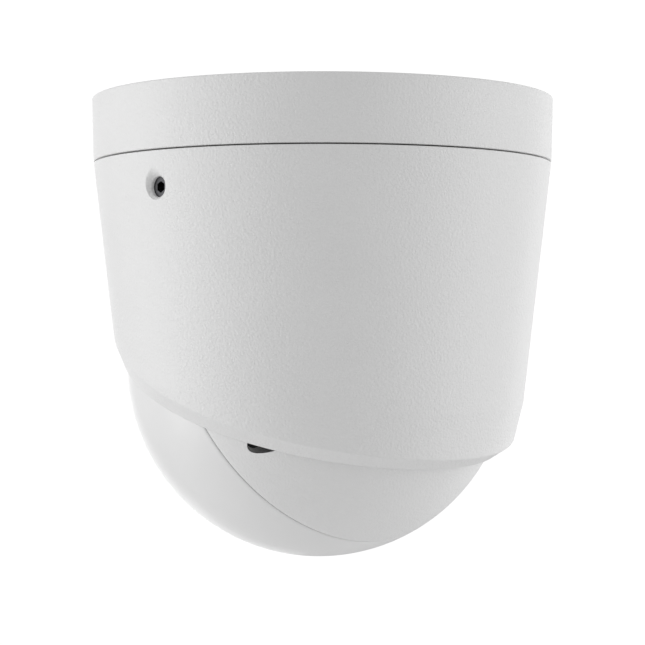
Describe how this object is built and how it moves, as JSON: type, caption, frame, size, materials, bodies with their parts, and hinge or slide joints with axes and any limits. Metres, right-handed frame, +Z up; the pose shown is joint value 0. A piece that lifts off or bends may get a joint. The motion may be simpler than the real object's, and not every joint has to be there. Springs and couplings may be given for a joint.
{
  "type": "turret security camera",
  "caption": "Ceiling turret camera: a round base, a tapered housing that turns on it, and a ball with the lens that tilts and rolls in the housing's angled mouth.",
  "frame": {"origin": "centre of the base's flat face against the ceiling", "axes": "+Z up into the ceiling, -Y the way the lens faces, +X the side with the locking screw"},
  "size_m": [0.12, 0.12, 0.1191],
  "materials": {
    "housing_paint": "fine-textured white powder coat",
    "shell_paint": "smooth satin white paint",
    "black_plastic": "fine matt black",
    "grey_plastic": "satin grey",
    "white_nylon": "natural nylon",
    "cream_plastic": "glossy cream",
    "rubber": "soft matt black",
    "steel": "zinc-plated",
    "dark_steel": "black oxide",
    "aluminium": "bead-blasted",
    "brass": "nickel-free brass",
    "circuit_board": "solder mask over glass fibre",
    "white_board": "white solder mask",
    "window_glass": "clear, polished",
    "lens_glass": "coated",
    "filter_glass": "blue-green coated",
    "lamp_dome": "clear cast epoxy",
    "thermal_pad": "soft grey-blue silicone",
    "ribbon": "amber film"
  },
  "bodies": {
    "base": {"mounting_base": "housing_paint", "ceiling_gasket": "rubber", "cable_grommet": "rubber", "base_seal": "rubber", "retaining_ring": "steel", "retaining_screws": "steel"},
    "housing": {"housing_shell": "housing_paint", "ball_seat_ring": "white_nylon", "friction_ring": "rubber", "clamp_ring": "black_plastic", "clamp_screws": "steel"},
    "lock_tip": {"locking_screw_tip": "white_nylon"},
    "lock_screw": {"locking_screw": "dark_steel"},
    "bush": {"swivel_bush": "black_plastic", "bush_washer": "steel", "bush_nut": "brass"},
    "ball": {"rear_shell": "housing_paint", "front_shell": "shell_paint", "shell_seal": "rubber", "shell_screws": "dark_steel", "front_window": "window_glass", "window_seal": "rubber", "front_mask": "black_plastic", "light_shield": "rubber", "lens_barrel": "dark_steel", "front_lens": "lens_glass", "middle_lens": "lens_glass", "rear_lens": "lens_glass", "lens_lock_ring": "dark_steel", "lens_holder": "black_plastic", "infrared_filter": "filter_glass", "image_sensor": "black_plastic", "sensor_board": "circuit_board", "board_spacers": "brass", "board_screws": "steel", "main_board": "circuit_board", "processor_chip": "black_plastic", "thermal_pad": "thermal_pad", "heat_sink": "aluminium", "lamp_board": "white_board", "infrared_lamps": "lamp_dome", "light_sensor": "lamp_dome", "inner_frame": "grey_plastic", "frame_screws": "steel", "microphone": "steel", "card_socket": "steel", "board_connectors": "cream_plastic", "ribbon_cable": "ribbon"}
  },
  "joints": [
    {"name": "pan", "type": "hinge", "parent": "base", "child": "housing", "pos_m": [0, 0, -0.0254], "axis": [0, 0, 1], "range_deg": [-180, 180]},
    {"name": "tilt", "type": "hinge", "parent": "housing", "child": "bush", "pos_m": [0, -0.0014, -0.06907], "axis": [1, 0, 0], "range_deg": [-7.2, 67.3]},
    {"name": "roll", "type": "hinge", "parent": "bush", "child": "ball", "pos_m": [0, -0.0014, -0.06907], "axis": [0, -0.9225, -0.3859], "range_deg": [-180, 180]},
    {"name": "locking_screw_travel", "type": "slide", "parent": "housing", "child": "lock_tip", "axis": [0.9972, 0.075, 0], "range_m": [0, 0.0016]},
    {"name": "locking_screw_turn", "type": "hinge", "parent": "lock_tip", "child": "lock_screw", "pos_m": [0.05624, 0.00423, -0.0254], "axis": [0.9972, 0.075, 0], "range_deg": [0, 720]}
  ],
  "couplings": [
    {"joint": "locking_screw_turn", "follows": "locking_screw_travel", "rad_per_m": 7854}
  ]
}
